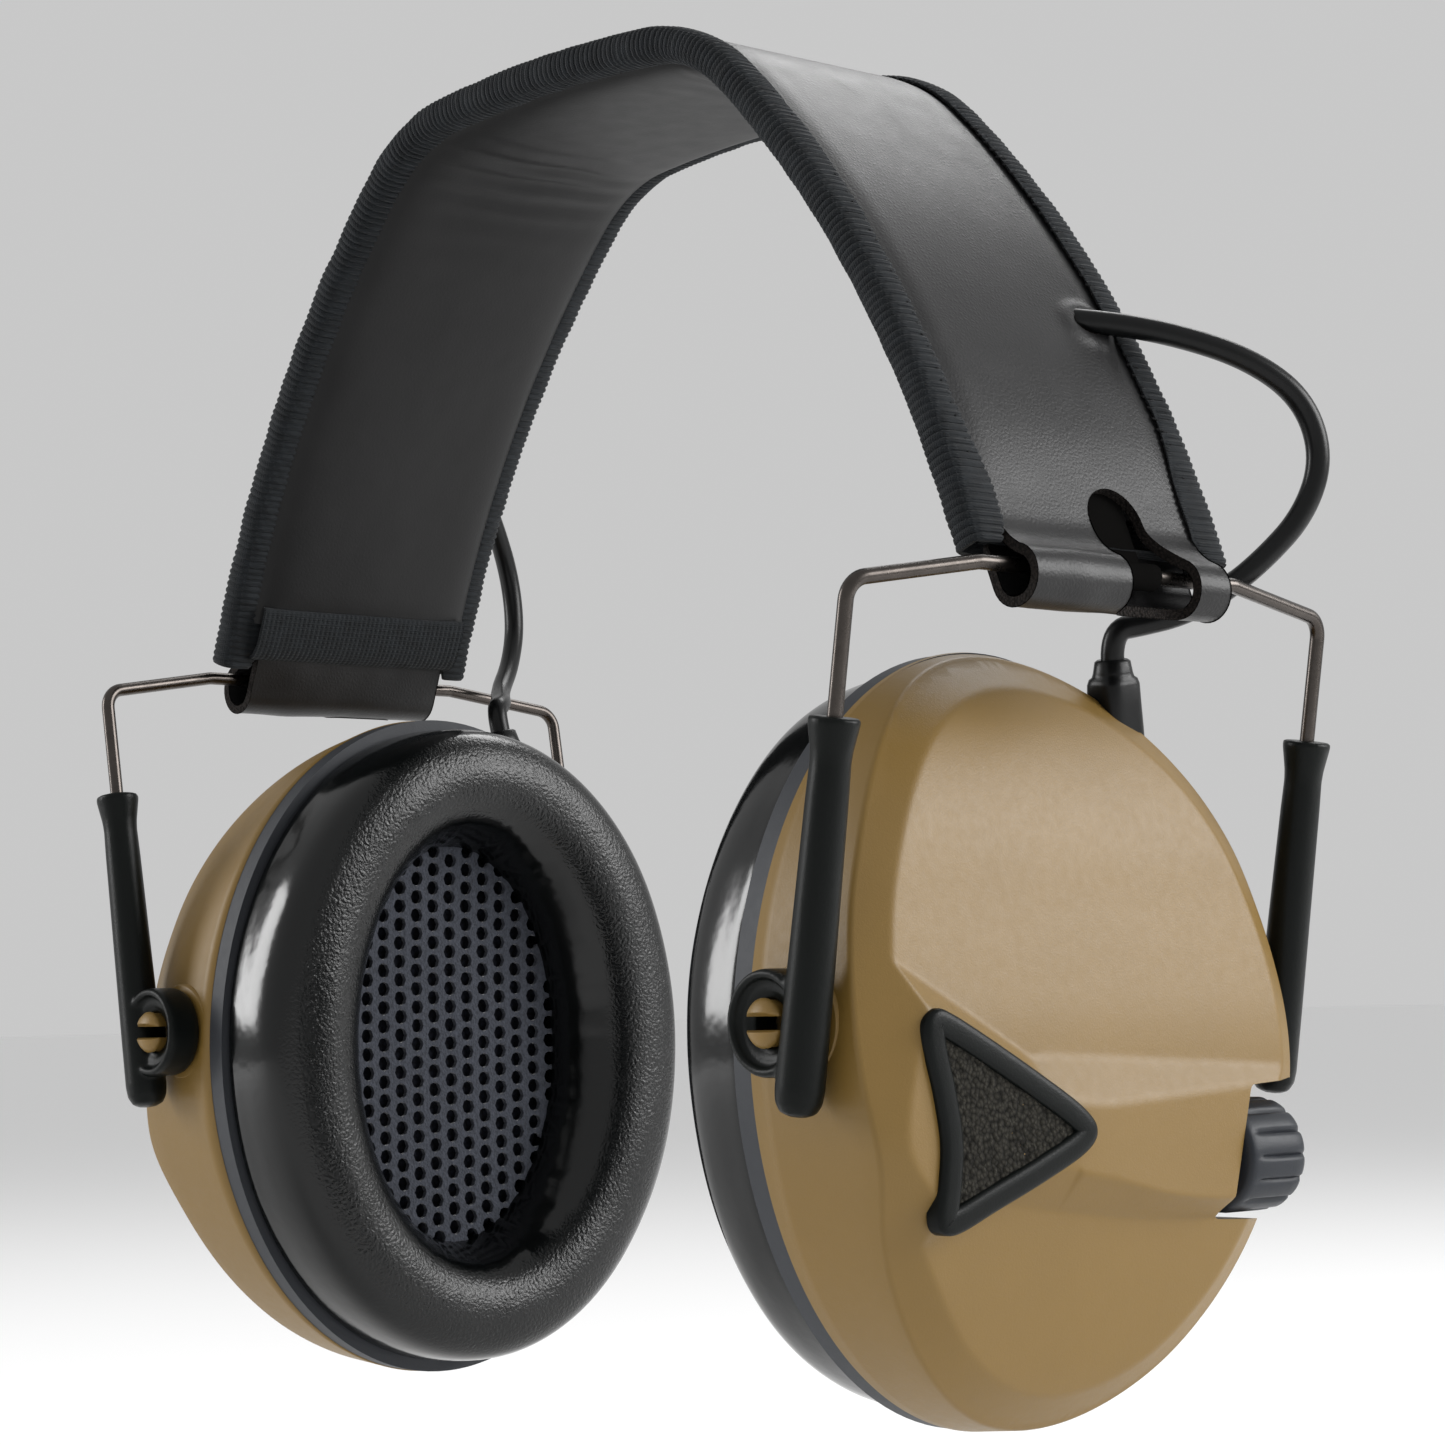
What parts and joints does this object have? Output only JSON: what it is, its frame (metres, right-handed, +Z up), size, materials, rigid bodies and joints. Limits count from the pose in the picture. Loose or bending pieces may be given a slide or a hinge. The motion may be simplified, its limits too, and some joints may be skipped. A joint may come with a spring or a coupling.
{
  "type": "earmuff hearing protector",
  "caption": "Folding electronic earmuff: oval cups with soft ear cushions pivot on slide arms and wire bails hung from a padded leather headband, with a volume knob and battery hatch.",
  "frame": {"origin": "middle of the headband's padded underside, where it rests on the crown of the head", "axes": "+Z up, +X to the wearer's left, the wearer faces -Y"},
  "size_m": [0.1746, 0.092, 0.185],
  "materials": {
    "leather": "satin",
    "binding_tape": "matte",
    "padding_foam": "matte",
    "spring_steel": "satin",
    "bail_wire": "satin",
    "black_plastic": "satin",
    "tan_shell": "satin",
    "grey_plastic": "matte",
    "cushion_vinyl": "gloss",
    "mesh_cloth": "matte",
    "ear_foam": "matte",
    "damping_foam": "matte",
    "mic_foam": "matte",
    "knob_plastic": "satin",
    "cable_jacket": "gloss",
    "board": "satin",
    "cell_can": "satin",
    "small_metal": "satin"
  },
  "bodies": {
    "headband": {"headband_cover": "leather", "headband_spring": "spring_steel", "headband_foam": "padding_foam", "headband_lining": "leather", "band_lead": "cable_jacket", "rear_binding": "binding_tape", "front_binding": "binding_tape", "left_end_strip": "binding_tape", "right_end_strip": "binding_tape", "left_cable": "cable_jacket", "right_cable": "cable_jacket"},
    "left_bail": {"left_bail_wire": "bail_wire"},
    "left_arms": {"left_front_arm": "black_plastic", "left_rear_arm": "black_plastic"},
    "left_cup": {"left_shell": "tan_shell", "left_base_plate": "grey_plastic", "left_cushion": "cushion_vinyl", "left_mesh_liner": "mesh_cloth", "left_ear_foam": "ear_foam", "left_speaker": "small_metal", "left_damping_foam": "damping_foam", "left_mic_frame": "black_plastic", "left_mic_foam": "mic_foam", "left_mic_capsule": "small_metal", "left_strain_relief": "cable_jacket", "circuit_board": "board", "volume_pot": "small_metal"},
    "volume_knob": {"volume_knob": "knob_plastic", "volume_shaft": "small_metal"},
    "right_bail": {"right_bail_wire": "bail_wire"},
    "right_arms": {"right_front_arm": "black_plastic", "right_rear_arm": "black_plastic"},
    "right_cup": {"right_shell": "tan_shell", "right_base_plate": "grey_plastic", "right_cushion": "cushion_vinyl", "right_mesh_liner": "mesh_cloth", "right_ear_foam": "ear_foam", "right_speaker": "small_metal", "right_damping_foam": "damping_foam", "right_mic_frame": "black_plastic", "right_mic_foam": "mic_foam", "right_mic_capsule": "small_metal", "right_strain_relief": "cable_jacket", "battery_tray": "grey_plastic", "battery_cells": "cell_can", "battery_door_pin": "small_metal"},
    "battery_door": {"battery_door": "tan_shell"}
  },
  "joints": [
    {"name": "left_fold", "type": "hinge", "parent": "headband", "child": "left_bail", "pos_m": [0.08276, 0, -0.07322], "axis": [0, 1, 0], "range_deg": [-12, 60], "deforming": ["left_cable"]},
    {"name": "right_fold", "type": "hinge", "parent": "headband", "child": "right_bail", "pos_m": [-0.08276, 0, -0.07322], "axis": [0, 1, 0], "range_deg": [-60, 12], "deforming": ["right_cable"]},
    {"name": "left_reach", "type": "slide", "parent": "left_bail", "child": "left_arms", "axis": [-0.1702, 0, -0.9854], "range_m": [-0.01, 0.02]},
    {"name": "left_tilt", "type": "hinge", "parent": "left_arms", "child": "left_cup", "pos_m": [0.0667, 0, -0.1272], "axis": [0, -1, 0], "range_deg": [-10, 10]},
    {"name": "right_reach", "type": "slide", "parent": "right_bail", "child": "right_arms", "axis": [-0.1702, 0, 0.9854], "range_m": [-0.02, 0.01]},
    {"name": "right_tilt", "type": "hinge", "parent": "right_arms", "child": "right_cup", "pos_m": [-0.0667, 0, -0.1272], "axis": [0, 1, 0], "range_deg": [-10, 10]},
    {"name": "volume_turn", "type": "hinge", "parent": "left_cup", "child": "volume_knob", "pos_m": [0.0745, 0.03, -0.1456], "axis": [0, 1, 0], "range_deg": [0, 270]},
    {"name": "battery_door_open", "type": "hinge", "parent": "right_cup", "child": "battery_door", "pos_m": [-0.0723, 0, -0.1709], "axis": [0, -1, 0], "range_deg": [0, 95]}
  ]
}
